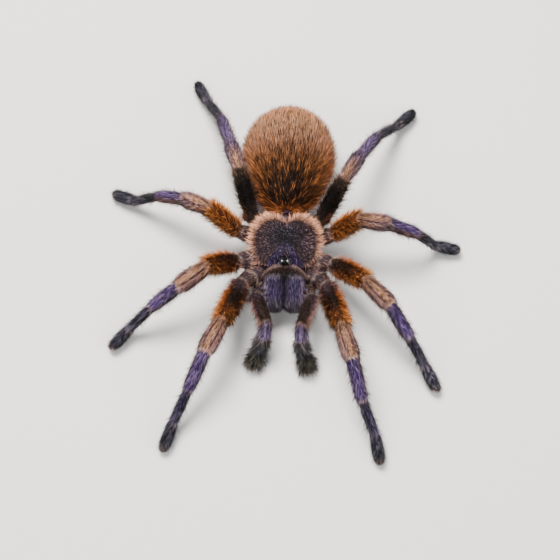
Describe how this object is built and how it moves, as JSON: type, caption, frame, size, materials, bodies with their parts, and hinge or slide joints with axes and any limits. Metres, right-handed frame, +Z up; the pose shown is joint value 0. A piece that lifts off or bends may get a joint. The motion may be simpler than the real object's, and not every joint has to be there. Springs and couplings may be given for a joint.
{
  "type": "tarantula",
  "caption": "Life-size still model of a tarantula standing on all its legs, with a rounded hairy abdomen, a fringed shield over the front body and violet lower legs.",
  "frame": {"origin": "on the floor, under the middle of the animal's bounding box", "axes": "+Z up, -Y the way the head faces, +X the animal's left"},
  "size_m": [0.106, 0.1218, 0.0245],
  "materials": {
    "carapace": "velvety dark purple-brown hair with a pale pinkish tan fringe",
    "abdomen": "long combed copper-brown hair over short dark hair",
    "femur": "dark brown short hair with long rust-orange side fringes",
    "dark_femur": "short blackish-brown hair",
    "patella": "pinkish tan hair with two bare violet stripes",
    "tibia": "violet hair with a fine metallic gleam",
    "metatarsus": "dark indigo hair",
    "tarsus": "short dense slate-grey hair pad",
    "palp": "lilac-grey hair",
    "chelicera": "short violet-grey hair, bristly at the lower end",
    "underside": "short blackish-brown hair",
    "fang": "polished black-brown horn",
    "eye": "glossy black lens"
  },
  "bodies": {
    "root": {"leg_1_left_femur": "femur", "leg_1_left_patella": "patella", "leg_1_left_tibia": "tibia", "leg_1_left_metatarsus": "metatarsus", "leg_1_left_tarsus": "tarsus", "leg_1_right_femur": "femur", "leg_1_right_patella": "patella", "leg_1_right_tibia": "tibia", "leg_1_right_metatarsus": "metatarsus", "leg_1_right_tarsus": "tarsus", "leg_2_left_femur": "femur", "leg_2_left_patella": "patella", "leg_2_left_tibia": "tibia", "leg_2_left_metatarsus": "metatarsus", "leg_2_left_tarsus": "tarsus", "leg_2_right_femur": "femur", "leg_2_right_patella": "patella", "leg_2_right_tibia": "tibia", "leg_2_right_metatarsus": "metatarsus", "leg_2_right_tarsus": "tarsus", "leg_3_left_femur": "femur", "leg_3_left_patella": "patella", "leg_3_left_tibia": "tibia", "leg_3_left_metatarsus": "metatarsus", "leg_3_left_tarsus": "tarsus", "leg_3_right_femur": "femur", "leg_3_right_patella": "patella", "leg_3_right_tibia": "tibia", "leg_3_right_metatarsus": "metatarsus", "leg_3_right_tarsus": "tarsus", "leg_4_left_femur": "dark_femur", "leg_4_left_patella": "patella", "leg_4_left_tibia": "tibia", "leg_4_left_metatarsus": "metatarsus", "leg_4_left_tarsus": "tarsus", "leg_4_right_femur": "dark_femur", "leg_4_right_patella": "patella", "leg_4_right_tibia": "tibia", "leg_4_right_metatarsus": "metatarsus", "leg_4_right_tarsus": "tarsus", "palp_left_femur": "palp", "palp_left_patella": "palp", "palp_left_tibia": "palp", "palp_left_tarsus": "tarsus", "chelicera_left": "chelicera", "fang_left": "fang", "spinneret_left": "underside", "palp_right_femur": "palp", "palp_right_patella": "palp", "palp_right_tibia": "palp", "palp_right_tarsus": "tarsus", "chelicera_right": "chelicera", "fang_right": "fang", "spinneret_right": "underside", "carapace": "carapace", "eye_tubercle": "eye", "prosoma_underside": "underside", "pedicel": "underside", "abdomen": "abdomen"}
  },
  "joints": []
}
